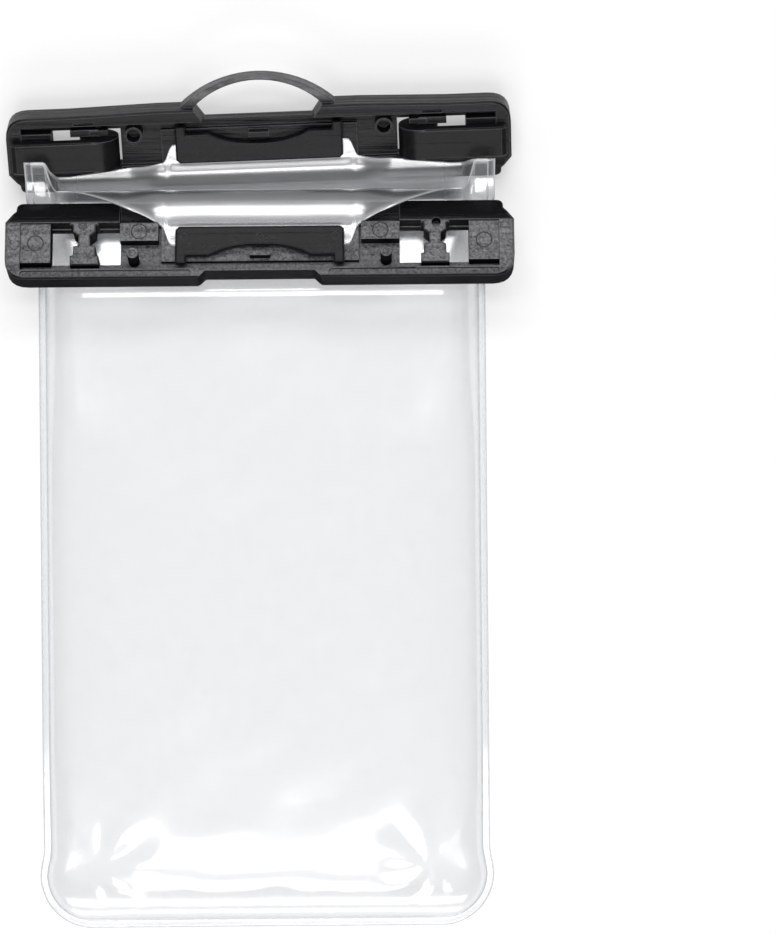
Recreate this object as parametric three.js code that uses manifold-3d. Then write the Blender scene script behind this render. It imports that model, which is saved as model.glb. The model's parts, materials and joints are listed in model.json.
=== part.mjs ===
import * as THREE from 'three';
import { mergeVertices } from 'three/addons/utils/BufferGeometryUtils.js';
import Module from 'manifold-3d';

// Waterproof phone pouch, lying on its back with the mouth open.
// Millimetres. X across the pouch, Y from the bottom seam to the lanyard loop, Z up.

// Sizes shared by both jaws, u along the jaw, p from its free edge, w from its outer face
const jawLength = 123.4;
const jawHeight = 20.2;
const jawThickness = 7;
const jawBevel = 0.5;
const freeCornerRadius = 5.4;
const lipInset = 2.6;
const lipCornerRadius = 1.8;
const floorThickness = 2.6;
const endWall = 3.7;
const freeRimWidth = 2.5;
const ridgeInner = 14.3;
const ridgeWidth = 1.6;
const ridgeOuter = ridgeInner + ridgeWidth;
const lipTipHeight = 4.5;
const seatHeight = 3.9;
const seatHalfWidth = 24;
const seatFreeEdge = 5.2;

// Windows and the posts that split them
const windowLength = 16.8;
const windowEnd = 11;
const windowOuterU = jawLength / 2 - windowEnd;
const windowInnerU = windowOuterU - windowLength;
const windowFreeP = 4.9;
const windowBagP = 14;
const ridgeGapHalfWidth = windowInnerU;
const postU = windowInnerU + windowLength / 2 + 0.2;
const postHeadWidth = 6.9;
const postBodyWidth = 5.4;
const postNeckWidth = 2.8;
const postHeight = 6.8;
const postHoleRadius = 1.1;

// Pads, end blocks, locating pins and their sockets
const padGap = 0.6;
const padInnerU = seatHalfWidth + padGap;
const padFreeP = 9.9;
const padHeight = 6;
const blockFreeP = 4.4;
const blockHeight = 6.2;
const ejectorRadius = 1.9;
const ejectorDepth = 0.2;
const pinU = windowInnerU - 3.3;
const pinP = 5.6;
const pinRadius = 1.36;
const pinTop = 9.5;
const socketWall = 0.55;
const socketTop = 6.5;
const socketClearance = 0.3;

// Notch in the free edges and the lanyard loop on the rear jaw
const notchBottomHalf = 13.2;
const notchTopHalf = 15.7;
const frontNotchDepth = 1.8;
const rearNotchDepth = 3.1;
const rearCrown = 0.6;
const loopFoot = 3.2;
const loopRise = 7.5;
const loopBar = 1;
const loopBack = 0.8;
const loopDepth = 4.3;

// Long groove in the free rim of the front jaw
const grooveInnerU = notchTopHalf + 1;
const grooveOuterU = jawLength / 2 - endWall;
const grooveMiddleP = 1.35;
const grooveHalfWidth = 0.75;
const grooveDepth = 0.6;

// Retainer bars that clamp the film tongues
const retainerHalf = 20.5;
const retainerFreeP = 5.9;
const retainerBagP = ridgeInner - 1;
const retainerLugP = 3.9;
const retainerLugWidth = 2.6;
const retainerArchHalf = 12.4;
const retainerArchP = 8.6;
const retainerBottom = 4.6;
const retainerTop = 6.8;
const clipHalf = 2.5;
const clipFreeP = 5.9;
const clipBagP = 7.1;
const clipTop = 6.2;

// Latch levers, hinged on the rear jaw
const leverTipU = jawLength / 2 - 1.3;
const leverWidth = 7.8;
const leverTop = 10.3;
const leverThickness = 3;
const hingeU = windowInnerU + 5.1;
const hingeW = 5.5;
const barrelRadius = leverTop - hingeW;
const trunnionRadius = 0.7;
const trunnionReach = 1;
const hingeClearance = 0.3;
const cheekHalf = 2.2;
const cheekTop = jawThickness;
const cheekThickness = 1.2;
const hingeP = (windowFreeP + windowBagP) / 2;

// How the open jaws lie
const rearTilt = 26;
const rearYaw = 1.7;
const rearY = 184.9;
const frontTilt = 16;
const frontY = 157.1;
const frontZ = 16;

// Film bag
const filmThickness = 0.4;
const seamLift = 0.4;
const flange = 1.9;
const bagHalfWidth = 53;
const footWidening = 1;
const footTop = 15.6;
const earFlare = 2.4;
const cornerRadius = 11;
const seamHeightFoot = 3.4;
const seamHeight = 6;
const bagTop = 15;
const earTopY = 184.6;
const earTopZ = 12.4;
const tongueHalf = retainerHalf + 1.1;
const tongueShoulder = tongueHalf + 2.4;
const foldHalf = bagHalfWidth - 7;
const tongueHeight = 4.25;
const crestLow = 5.2;
const crestHigh = 7.75;

const wasm = await Module();
wasm.setup();

// Solid from a closed triangle geometry
function solidOf(geometry) {
  const plain = geometry.index ? geometry.toNonIndexed() : geometry.clone();
  plain.deleteAttribute('normal');
  plain.deleteAttribute('uv');
  const merged = mergeVertices(plain, 1e-4);
  return new wasm.Manifold(new wasm.Mesh({
    numProp: 3,
    vertProperties: new Float32Array(merged.attributes.position.array),
    triVerts: new Uint32Array(merged.index.array),
  }));
}

function geometryOf(solid) {
  const mesh = solid.getMesh();
  const geometry = new THREE.BufferGeometry();
  const positions = new Float32Array(mesh.numVert * 3);
  for (let i = 0; i < mesh.numVert; i += 1) {
    for (let k = 0; k < 3; k += 1) {
      positions[i * 3 + k] = mesh.vertProperties[i * mesh.numProp + k];
    }
  }
  geometry.setAttribute('position', new THREE.BufferAttribute(positions, 3));
  geometry.setIndex(new THREE.BufferAttribute(new Uint32Array(mesh.triVerts), 1));
  return geometry;
}

// Outline in the u and v plane, extruded along w
function plate(shape, w0, w1, bevel = 0) {
  const geometry = new THREE.ExtrudeGeometry(shape, {
    depth: w1 - w0 - 2 * bevel,
    bevelEnabled: bevel > 0,
    bevelThickness: bevel,
    bevelSize: bevel,
    bevelOffset: -bevel,
    bevelSegments: 1,
    curveSegments: 6,
  });
  geometry.translate(0, 0, w0 + bevel);
  return solidOf(geometry);
}

// Outline in the v and w plane, extruded along u
function bar(points, u0, u1) {
  const shape = new THREE.Shape(points.map(([v, w]) => new THREE.Vector2(v, w)));
  const geometry = new THREE.ExtrudeGeometry(shape, { depth: u1 - u0, bevelEnabled: false });
  const turn = new THREE.Matrix4().makeBasis(
    new THREE.Vector3(0, 1, 0),
    new THREE.Vector3(0, 0, 1),
    new THREE.Vector3(1, 0, 0),
  );
  geometry.applyMatrix4(turn);
  geometry.translate(u0, 0, 0);
  return solidOf(geometry);
}

function block(u0, u1, v0, v1, w0, w1) {
  const geometry = new THREE.BoxGeometry(Math.abs(u1 - u0), Math.abs(v1 - v0), Math.abs(w1 - w0));
  geometry.translate((u0 + u1) / 2, (v0 + v1) / 2, (w0 + w1) / 2);
  return solidOf(geometry);
}

// Round rod along w
function rod(u, v, radius, w0, w1, sides = 24) {
  const geometry = new THREE.CylinderGeometry(radius, radius, w1 - w0, sides);
  geometry.rotateX(Math.PI / 2);
  geometry.translate(u, v, (w0 + w1) / 2);
  return solidOf(geometry);
}

// Round rod along v
function axle(u, w, radius, v0, v1, sides = 24) {
  const geometry = new THREE.CylinderGeometry(radius, radius, v1 - v0, sides);
  geometry.translate(u, (v0 + v1) / 2, w);
  return solidOf(geometry);
}

const vOfFront = (p) => p;
const vOfRear = (p) => jawHeight - p;

// Outline of a jaw with rounded free corners, a lip set in from the ends and a crowned free edge
function jawOutline(vOf, crown) {
  const half = jawLength / 2;
  const lipHalf = half - lipInset;
  const shape = new THREE.Shape();
  shape.moveTo(-half + freeCornerRadius, vOf(0));
  if (crown > 0) {
    shape.lineTo(-half * 0.75, vOf(0));
    shape.lineTo(-half * 0.4, vOf(-crown));
    shape.lineTo(half * 0.4, vOf(-crown));
    shape.lineTo(half * 0.75, vOf(0));
  }
  shape.lineTo(half - freeCornerRadius, vOf(0));
  shape.quadraticCurveTo(half, vOf(0), half, vOf(freeCornerRadius));
  shape.lineTo(half, vOf(ridgeInner + 0.3));
  shape.lineTo(lipHalf, vOf(ridgeInner + 0.3 + lipInset * 1.2));
  shape.lineTo(lipHalf, vOf(jawHeight - lipCornerRadius));
  shape.quadraticCurveTo(lipHalf, vOf(jawHeight), lipHalf - lipCornerRadius, vOf(jawHeight));
  shape.lineTo(-lipHalf + lipCornerRadius, vOf(jawHeight));
  shape.quadraticCurveTo(-lipHalf, vOf(jawHeight), -lipHalf, vOf(jawHeight - lipCornerRadius));
  shape.lineTo(-lipHalf, vOf(ridgeInner + 0.3 + lipInset * 1.2));
  shape.lineTo(-half, vOf(ridgeInner + 0.3));
  shape.lineTo(-half, vOf(freeCornerRadius));
  shape.quadraticCurveTo(-half, vOf(0), -half + freeCornerRadius, vOf(0));
  return shape;
}

// Points on a circular arch over a span, from its left foot to its right foot
function archPoints(half, foot, rise, count = 20) {
  const radius = (half ** 2 + rise ** 2) / (2 * rise);
  const reach = Math.asin(half / radius);
  const points = [];
  for (let k = 0; k <= count; k += 1) {
    const angle = THREE.MathUtils.lerp(-reach, reach, k / count);
    points.push(new THREE.Vector2(radius * Math.sin(angle), foot + rise - radius * (1 - Math.cos(angle))));
  }
  return points;
}

// Post that divides a window, seen from inside as two heads on a neck
function postOutline(side, vOf) {
  const middle = side * postU;
  const steps = [
    [postHeadWidth, windowFreeP - 1.3],
    [postHeadWidth, windowFreeP + 1.1],
    [postBodyWidth, windowFreeP + 1.2],
    [postBodyWidth, windowFreeP + 3.5],
    [postNeckWidth, windowFreeP + 3.8],
    [postNeckWidth, windowBagP - 3],
    [postBodyWidth, windowBagP - 2],
    [postBodyWidth, windowBagP - 0.3],
    [postHeadWidth, windowBagP - 0.2],
    [postHeadWidth, ridgeOuter - 0.1],
  ];
  const right = steps.map(([width, p]) => new THREE.Vector2(middle + width / 2, vOf(p)));
  const left = steps.map(([width, p]) => new THREE.Vector2(middle - width / 2, vOf(p))).reverse();
  return new THREE.Shape([...right, ...left]);
}

function notchCutter(depth, vOf) {
  const shape = new THREE.Shape([
    new THREE.Vector2(-notchTopHalf, vOf(-rearCrown)),
    new THREE.Vector2(-notchTopHalf, vOf(-2)),
    new THREE.Vector2(notchTopHalf, vOf(-2)),
    new THREE.Vector2(notchTopHalf, vOf(-rearCrown)),
    new THREE.Vector2(notchBottomHalf, vOf(depth)),
    new THREE.Vector2(-notchBottomHalf, vOf(depth)),
  ]);
  return plate(shape, -1, jawThickness + 1);
}

// Tray with rim, lip, windows, seat, pads and end blocks, common to both jaws
function jawTray(vOf, crown, pads) {
  const innerHalf = jawLength / 2 - endWall;
  const over = jawThickness + 1;
  let tray = plate(jawOutline(vOf, crown), 0, jawThickness, jawBevel);
  tray = tray.subtract(
    block(-innerHalf, innerHalf, vOf(freeRimWidth), vOf(ridgeInner), floorThickness, over),
  );
  const lipCut = [
    [vOf(ridgeOuter), jawThickness],
    [vOf(jawHeight + 1), lipTipHeight - 0.6],
    [vOf(jawHeight + 1), over],
    [vOf(ridgeOuter), over],
  ];
  tray = tray.subtract(bar(lipCut, -jawLength, jawLength));
  tray = tray.subtract(block(
    -ridgeGapHalfWidth, ridgeGapHalfWidth,
    vOf(ridgeInner - 0.5), vOf(jawHeight + 1), seatHeight, over,
  ));
  tray = tray.add(block(
    -seatHalfWidth, seatHalfWidth, vOf(seatFreeEdge), vOf(ridgeInner + 0.5), 1, seatHeight,
  ));
  for (const side of [-1, 1]) {
    if (pads) {
      tray = tray.add(block(
        side * padInnerU, side * (windowInnerU + 0.1), vOf(padFreeP), vOf(ridgeInner + 0.2), 1, padHeight,
      ));
      tray = tray.subtract(rod(
        side * (padInnerU + windowInnerU) / 2, vOf(padFreeP + ejectorRadius + 0.5),
        ejectorRadius, padHeight - ejectorDepth, over,
      ));
    }
    tray = tray.add(block(
      side * windowOuterU, side * (innerHalf + 0.5), vOf(blockFreeP), vOf(ridgeInner + 0.2), 1, blockHeight,
    ));
    tray = tray.subtract(block(
      side * windowInnerU, side * windowOuterU, vOf(windowFreeP), vOf(windowBagP), -1, over,
    ));
    tray = tray.subtract(rod(
      side * (windowOuterU + innerHalf) / 2, vOf(hingeP), ejectorRadius, blockHeight - ejectorDepth, over,
    ));
  }
  return tray.add(block(-clipHalf, clipHalf, vOf(clipFreeP), vOf(clipBagP), 1, clipTop));
}

function frontJaw() {
  const vOf = vOfFront;
  let jaw = jawTray(vOf, 0, true).subtract(notchCutter(frontNotchDepth, vOf));
  for (const side of [-1, 1]) {
    jaw = jaw.add(plate(postOutline(side, vOf), 0, postHeight, 0.3));
    jaw = jaw.add(rod(side * pinU, vOf(pinP), pinRadius, 1, pinTop));
    const groove = new THREE.Shape();
    const inner = side * (grooveInnerU + grooveHalfWidth);
    const outer = side * (grooveOuterU - grooveHalfWidth);
    const left = Math.min(inner, outer);
    const right = Math.max(inner, outer);
    groove.absarc(right, vOf(grooveMiddleP), grooveHalfWidth, -Math.PI / 2, Math.PI / 2, false);
    groove.absarc(left, vOf(grooveMiddleP), grooveHalfWidth, Math.PI / 2, Math.PI * 1.5, false);
    jaw = jaw.subtract(plate(groove, jawThickness - grooveDepth, jawThickness + 1));
  }
  const holeP = windowBagP - 0.2;
  return jaw.subtract(rod(postU + 0.3, vOf(holeP), postHoleRadius, postHeight - 2.5, jawThickness + 1));
}

function rearJaw() {
  const vOf = vOfRear;
  let jaw = jawTray(vOf, rearCrown, false).subtract(notchCutter(rearNotchDepth, vOf));

  // Lanyard loop, an arch over the notch that thins towards its top
  const foot = jawHeight + rearCrown;
  const outer = archPoints(notchTopHalf + loopFoot, foot, loopRise);
  const inner = archPoints(notchTopHalf, foot, loopRise - loopBar).reverse();
  const loop = new THREE.Shape([
    new THREE.Vector2(outer[0].x, foot - 1),
    ...outer,
    new THREE.Vector2(-outer[0].x, foot - 1),
    new THREE.Vector2(inner[0].x, foot - 1),
    ...inner,
    new THREE.Vector2(-inner[0].x, foot - 1),
  ]);
  jaw = jaw.add(plate(loop, loopBack, loopBack + loopDepth, 0.25));
  jaw = jaw.subtract(notchCutter(rearNotchDepth, vOf).subtract(plate(loop, -2, jawThickness + 2)));

  const socketRadius = pinRadius + socketClearance;
  for (const side of [-1, 1]) {
    // Head of the post on the free side only, the lever barrel turns in the rest of the window
    const head = block(
      side * (postU - postHeadWidth / 2), side * (postU + postHeadWidth / 2),
      vOf(windowFreeP - 1.4), vOf(windowFreeP + 0.3), 1, postHeight,
    );
    const tube = rod(side * pinU, vOf(pinP), socketRadius + socketWall, 1, socketTop);
    const bore = rod(side * pinU, vOf(pinP), socketRadius, floorThickness, jawThickness + 1);
    const slot = block(
      side * (postU - 2.5), side * (postU + 2.5), vOf(1.6), vOf(2.3), jawThickness - 1, jawThickness + 1,
    );
    jaw = jaw.add(head).add(tube).subtract(bore).subtract(slot);
    // Cheeks that carry the lever trunnions
    for (const [near, far] of [[windowFreeP, windowFreeP - cheekThickness], [windowBagP, ridgeOuter - 0.1]]) {
      jaw = jaw.add(block(
        side * (hingeU - cheekHalf), side * (hingeU + cheekHalf), vOf(near), vOf(far), 1, cheekTop,
      ));
    }
    jaw = jaw.subtract(axle(
      side * hingeU, hingeW, trunnionRadius + hingeClearance,
      vOf(windowBagP + trunnionReach + 0.3), vOf(windowFreeP - cheekThickness - 0.5),
    ));
  }
  return jaw;
}

// Bar with an arched free side and two lugs, clamping a film tongue
function retainer(vOf) {
  const shape = new THREE.Shape();
  const lugInner = retainerHalf - retainerLugWidth;
  const corner = 0.9;
  const inward = Math.sign(vOf(1) - vOf(0));
  shape.moveTo(-retainerHalf, vOf(retainerLugP));
  shape.lineTo(-lugInner, vOf(retainerLugP));
  shape.lineTo(-lugInner, vOf(retainerFreeP));
  shape.lineTo(-retainerArchHalf, vOf(retainerFreeP));
  shape.bezierCurveTo(
    -retainerArchHalf * 0.55, vOf(retainerArchP), -retainerArchHalf * 0.3, vOf(retainerArchP),
    0, vOf(retainerArchP),
  );
  shape.bezierCurveTo(
    retainerArchHalf * 0.3, vOf(retainerArchP), retainerArchHalf * 0.55, vOf(retainerArchP),
    retainerArchHalf, vOf(retainerFreeP),
  );
  shape.lineTo(lugInner, vOf(retainerFreeP));
  shape.lineTo(lugInner, vOf(retainerLugP));
  shape.lineTo(retainerHalf, vOf(retainerLugP));
  shape.lineTo(retainerHalf, vOf(retainerBagP) - inward * corner);
  shape.lineTo(retainerHalf - corner, vOf(retainerBagP));
  shape.lineTo(-retainerHalf + corner, vOf(retainerBagP));
  shape.lineTo(-retainerHalf, vOf(retainerBagP) - inward * corner);
  return plate(shape, retainerBottom, retainerTop, 0.3);
}

// Lever lying outward over its window, with a round barrel and two trunnions
function lever(side) {
  const v0 = vOfRear(hingeP) - leverWidth / 2;
  const v1 = vOfRear(hingeP) + leverWidth / 2;
  const tip = side * leverTipU;
  const slab = [
    [side * hingeU, leverTop],
    [tip - side * 1.2, leverTop],
    [tip, leverTop - 0.8],
    [tip, leverTop - leverThickness + 0.5],
    [tip - side * 0.5, leverTop - leverThickness],
    [side * hingeU, leverTop - leverThickness],
  ];
  const shape = new THREE.Shape(slab.map(([u, w]) => new THREE.Vector2(u, w)));
  const geometry = new THREE.ExtrudeGeometry(shape, {
    depth: leverWidth - 0.8,
    bevelEnabled: true,
    bevelThickness: 0.4,
    bevelSize: 0.4,
    bevelOffset: -0.4,
    bevelSegments: 1,
  });
  geometry.rotateX(Math.PI / 2);
  geometry.translate(0, v1 - 0.4, 0);
  const barrel = axle(side * hingeU, hingeW, barrelRadius, v0, v1, 40);
  const pin = axle(side * hingeU, hingeW, trunnionRadius, v0 - trunnionReach - 0.6, v1 + trunnionReach + 0.6);
  return solidOf(geometry).add(barrel).add(pin);
}

// Where each jaw lies in the open pouch
const rearPlace = new THREE.Matrix4()
  .makeTranslation(0, rearY, 0)
  .multiply(new THREE.Matrix4().makeRotationZ(THREE.MathUtils.degToRad(rearYaw)))
  .multiply(new THREE.Matrix4().makeRotationX(THREE.MathUtils.degToRad(rearTilt)));
const frontPlace = new THREE.Matrix4()
  .makeTranslation(0, frontY, frontZ)
  .multiply(new THREE.Matrix4().makeRotationX(THREE.MathUtils.degToRad(-frontTilt)));

// Point on a jaw, given along it, across it from the free edge and above its outer face
function onJaw(place, vOf, u, p, w) {
  return new THREE.Vector3(u, vOf(p), w).applyMatrix4(place);
}

function smooth(low, high, value) {
  return THREE.MathUtils.smoothstep(value, low, high);
}

// Half width of the bag inside its seam, at a height up from the bottom edge
function halfWidthAt(y) {
  const foot = bagHalfWidth + footWidening;
  const body = THREE.MathUtils.lerp(foot, bagHalfWidth, smooth(footTop - 3, footTop + 4, y));
  const rise = Math.min(y - flange, cornerRadius);
  const short = cornerRadius - rise;
  return body - cornerRadius + Math.sqrt(Math.max(cornerRadius ** 2 - short ** 2, 0));
}

// Extra width of the outer columns where the corners of the mouth stand out as ears
function earReach(x, y) {
  return Math.sign(x) * earFlare * (Math.abs(x) / bagHalfWidth) ** 8 * smooth(164, 180, y);
}

function seamZ(y) {
  const side = THREE.MathUtils.lerp(seamHeightFoot, seamHeight, smooth(flange, 50, y));
  return THREE.MathUtils.lerp(side, earTopZ, smooth(168, earTopY, y));
}

// The film rides low between the jaw ridges and high over them
function filmLevel(x, low, high) {
  return THREE.MathUtils.lerp(low, high, smooth(tongueShoulder, ridgeGapHalfWidth - 1, Math.abs(x)));
}

// Centre line of the front film, from the bottom seam round the lip to the retainer
function frontCourse(x) {
  const level = (low, high) => filmLevel(x, low, high);
  const jaw = (p, w) => {
    const at = onJaw(frontPlace, vOfFront, x, p, w);
    return new THREE.Vector2(at.y, at.z);
  };
  return new THREE.CatmullRomCurve3([
    jaw(-1, -0.6),
    jaw(5, -0.6),
    jaw(10, -0.6),
    jaw(15, -0.6),
    jaw(jawHeight - 0.8, -0.7),
    jaw(jawHeight + 2.4, -0.2),
    jaw(jawHeight + 3.8, 1.6),
    jaw(jawHeight + 3.1, 4),
    jaw(jawHeight + 0.8, level(5.2, 6.2)),
    jaw(ridgeOuter + 1.8, level(crestLow + 0.3, crestHigh + 0.1)),
    jaw(ridgeInner + 1, level(tongueHeight + 0.6, crestHigh)),
    jaw(ridgeInner - 0.5, level(tongueHeight, crestHigh)),
    jaw(10, tongueHeight),
    jaw(7.6, tongueHeight),
  ].map((at) => new THREE.Vector3(0, at.x, at.y)), false, 'centripetal');
}

// Centre line of the back film, from the back wall over the rear jaw to its retainer
function backCourse(x) {
  const level = (low, high) => filmLevel(x, low, high);
  const jaw = (p, w) => {
    const at = onJaw(rearPlace, vOfRear, x, p, w);
    return new THREE.Vector3(0, at.y, at.z);
  };
  return new THREE.CatmullRomCurve3([
    new THREE.Vector3(0, 158, 0.35),
    new THREE.Vector3(0, 166, 0.4),
    new THREE.Vector3(0, 173, 1),
    new THREE.Vector3(0, 178.5, 2.9),
    jaw(jawHeight + 0.9, level(4.9, 5.6)),
    jaw(ridgeOuter + 2.4, level(crestLow, crestHigh - 0.7)),
    jaw(ridgeOuter + 0.2, level(crestLow, crestHigh)),
    jaw(ridgeInner + 0.5, level(tongueHeight + 0.4, crestHigh)),
    jaw(ridgeInner - 0.6, level(tongueHeight, crestHigh)),
    jaw(10, tongueHeight),
    jaw(7.4, tongueHeight),
  ], false, 'centripetal');
}

// Bag columns across the pouch, with lines on both shoulders of the film tongue
function columnPositions() {
  const half = [0];
  for (let k = 1; k <= 3; k += 1) {
    half.push(tongueHalf * k / 3);
  }
  half.push(tongueShoulder);
  for (let k = 1; k <= 6; k += 1) {
    half.push(THREE.MathUtils.lerp(tongueShoulder, foldHalf, (k / 6) ** 1.2));
  }
  for (let k = 1; k <= 4; k += 1) {
    half.push(THREE.MathUtils.lerp(foldHalf, bagHalfWidth, Math.sin(Math.PI / 2 * k / 4)));
  }
  return [...half.slice(1).reverse().map((x) => -x), ...half];
}

// Length taken off the end of a course outside the tongue
function trimmedLength(x, shoulder, perMillimetre) {
  const far = Math.min(Math.abs(x), foldHalf);
  if (far <= tongueHalf + 0.01) {
    return 0;
  }
  return shoulder + Math.max(far - tongueShoulder, 0) * perMillimetre;
}

// Full height of a wall above or below the seam at a distance from the bottom edge
function wallShare(y, reach) {
  const left = 1 - Math.min((y - flange) / reach, 1);
  return (1 - left ** 2.6) ** (1 / 1.9);
}

// Grid of points on the middle surface of one film
function filmGrid(film) {
  const wallRows = [];
  const cornerRows = 4;
  for (let k = 0; k <= cornerRows; k += 1) {
    wallRows.push(flange + cornerRadius * (1 - Math.cos(Math.PI / 2 * k / cornerRows)));
  }
  const bodyRows = 8;
  for (let k = 1; k <= bodyRows; k += 1) {
    wallRows.push(THREE.MathUtils.lerp(flange + cornerRadius, film.wallEnd, (k - 0.02) / bodyRows));
  }
  const mouthRows = 13;
  const columns = columnPositions();
  return columns.map((x) => {
    const c = Math.abs(x) / bagHalfWidth;
    const course = film.course(x);
    const length = course.getLength();
    const kept = 1 - trimmedLength(x, film.shoulder, film.taper) / length;
    const start = course.getPoint(0);
    const wall = wallRows.map((y) => {
      const power = THREE.MathUtils.lerp(film.roundness, 14, smooth(115, film.wallEnd, y));
      const bulge = Math.max(1 - c ** power, 0) ** (1 / film.softness);
      const full = THREE.MathUtils.lerp(film.level, start.z, smooth(125, film.wallEnd, y));
      const seam = seamZ(y) + film.lift;
      const share = bulge * wallShare(y, film.reach);
      return new THREE.Vector3(
        Math.sign(x) * c * halfWidthAt(y) + earReach(x, y), y, THREE.MathUtils.lerp(seam, full, share),
      );
    });
    const mouth = [];
    const bulge = Math.max(1 - c ** 14, 0) ** (1 / film.softness);
    for (let k = 1; k <= mouthRows; k += 1) {
      const along = k / mouthRows;
      const at = course.getPointAt(along * kept);
      const seamY = THREE.MathUtils.lerp(film.wallEnd, earTopY, along);
      const seam = new THREE.Vector3(0, seamY, seamZ(seamY) + film.lift);
      const point = seam.lerp(at, bulge);
      point.x = x + earReach(x, seamY);
      mouth.push(point);
    }
    return [...wall, ...mouth];
  });
}

// Closed shell of even thickness around a grid, with a flat welded flange outside its seam
function filmShell(film) {
  const grid = filmGrid(film);
  const columns = grid.length;
  const rows = grid[0].length;
  const points = grid.flat();
  const faces = [];
  const addQuad = (a, b, c, d) => {
    faces.push([a, b, c], [a, c, d]);
  };
  for (let i = 0; i + 1 < columns; i += 1) {
    for (let j = 0; j + 1 < rows; j += 1) {
      addQuad(i * rows + j, (i + 1) * rows + j, (i + 1) * rows + j + 1, i * rows + j + 1);
    }
  }
  const seam = [];
  for (let j = rows - 1; j > 0; j -= 1) {
    seam.push(j);
  }
  for (let i = 0; i < columns; i += 1) {
    seam.push(i * rows);
  }
  for (let j = 1; j < rows; j += 1) {
    seam.push((columns - 1) * rows + j);
  }
  const outer = seam.map((index, k) => {
    const before = points[seam[Math.max(k - 1, 0)]];
    const after = points[seam[Math.min(k + 1, seam.length - 1)]];
    const away = new THREE.Vector3(after.y - before.y, before.x - after.x, 0).normalize();
    return points[index].clone().addScaledVector(away, flange);
  });
  const first = points.length;
  points.push(...outer);
  for (let k = 0; k + 1 < seam.length; k += 1) {
    addQuad(seam[k], first + k, first + k + 1, seam[k + 1]);
  }

  const surface = new THREE.BufferGeometry().setFromPoints(points);
  surface.setIndex(faces.flat());
  surface.computeVertexNormals();
  const normals = surface.attributes.normal;
  const count = points.length;
  const shell = [];
  for (const side of [1, -1]) {
    points.forEach((point, i) => {
      const normal = new THREE.Vector3().fromBufferAttribute(normals, i);
      shell.push(point.clone().addScaledVector(normal, side * filmThickness / 2));
    });
  }
  const indices = [];
  const edges = new Map();
  for (const [a, b, c] of faces) {
    indices.push(a, b, c);
    indices.push(count + a, count + c, count + b);
    for (const [from, to] of [[a, b], [b, c], [c, a]]) {
      edges.set(`${from} ${to}`, [from, to]);
    }
  }
  for (const [from, to] of edges.values()) {
    if (!edges.has(`${to} ${from}`)) {
      indices.push(to, from, count + from);
      indices.push(to, count + from, count + to);
    }
  }
  const geometry = new THREE.BufferGeometry().setFromPoints(shell);
  geometry.setIndex(indices);
  return geometry;
}

const frontFilm = {
  course: frontCourse,
  wallEnd: 156,
  level: bagTop,
  reach: 26,
  roundness: 3,
  softness: 1.9,
  lift: seamLift,
  shoulder: 6.6,
  taper: 0.57,
};

const backFilm = {
  course: backCourse,
  wallEnd: 158,
  level: 0.35,
  reach: 14,
  roundness: 7,
  softness: 1.6,
  lift: -seamLift,
  shoulder: 7.6,
  taper: 0.08,
};

// Moulded black plastic and clear film
const jawPlastic = new THREE.MeshStandardMaterial({ color: 0x1b1c1e, roughness: 0.55, metalness: 0 });
const barPlastic = new THREE.MeshStandardMaterial({ color: 0x151618, roughness: 0.5, metalness: 0 });
const latchPlastic = new THREE.MeshStandardMaterial({ color: 0x101113, roughness: 0.4, metalness: 0 });
const clearFilm = new THREE.MeshStandardMaterial({ color: 0xe6e8ea, roughness: 0.15, metalness: 0 });

const group = new THREE.Group();

function addPart(name, geometry, place, material) {
  const placed = geometry.clone();
  if (place) {
    placed.applyMatrix4(place);
  }
  const mesh = new THREE.Mesh(placed, material);
  mesh.name = name;
  group.add(mesh);
}

addPart('back_film', filmShell(backFilm), null, clearFilm);
addPart('front_film', filmShell(frontFilm), null, clearFilm);
addPart('rear_jaw', geometryOf(rearJaw()), rearPlace, jawPlastic);
addPart('front_jaw', geometryOf(frontJaw()), frontPlace, jawPlastic);
addPart('rear_retainer', geometryOf(retainer(vOfRear)), rearPlace, barPlastic);
addPart('front_retainer', geometryOf(retainer(vOfFront)), frontPlace, barPlastic);
addPart('left_latch', geometryOf(lever(-1)), rearPlace, latchPlastic);
addPart('right_latch', geometryOf(lever(1)), rearPlace, latchPlastic);

// Origin at the bottom centre of the whole pouch
const bounds = new THREE.Box3().setFromObject(group);
const middle = bounds.getCenter(new THREE.Vector3());
for (const mesh of group.children) {
  mesh.geometry.translate(-middle.x, -middle.y, -bounds.min.z);
  mesh.geometry.computeVertexNormals();
}

export default group;
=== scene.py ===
"""Looks of a waterproof phone pouch: a clear film bag lying open in two black moulded jaws."""
import json
import math

import bmesh
import bpy
import numpy as np
from mathutils import Matrix, Vector

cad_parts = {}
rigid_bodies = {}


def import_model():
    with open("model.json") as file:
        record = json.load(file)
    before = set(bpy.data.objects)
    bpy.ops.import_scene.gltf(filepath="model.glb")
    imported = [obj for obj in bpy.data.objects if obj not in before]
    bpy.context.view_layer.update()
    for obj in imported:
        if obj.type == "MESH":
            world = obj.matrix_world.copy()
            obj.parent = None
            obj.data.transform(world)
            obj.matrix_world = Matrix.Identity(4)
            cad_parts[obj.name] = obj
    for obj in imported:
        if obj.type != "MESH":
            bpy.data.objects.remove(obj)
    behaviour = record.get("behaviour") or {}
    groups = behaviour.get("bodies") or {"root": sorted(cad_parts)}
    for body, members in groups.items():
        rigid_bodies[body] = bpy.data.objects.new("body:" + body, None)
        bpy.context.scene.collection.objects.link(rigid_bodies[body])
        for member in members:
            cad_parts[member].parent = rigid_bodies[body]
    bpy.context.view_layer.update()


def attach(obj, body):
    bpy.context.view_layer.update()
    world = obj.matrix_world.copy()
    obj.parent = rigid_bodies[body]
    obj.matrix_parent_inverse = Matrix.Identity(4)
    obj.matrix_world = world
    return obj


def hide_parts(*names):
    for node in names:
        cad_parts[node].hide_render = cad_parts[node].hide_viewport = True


scene = bpy.context.scene
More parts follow.
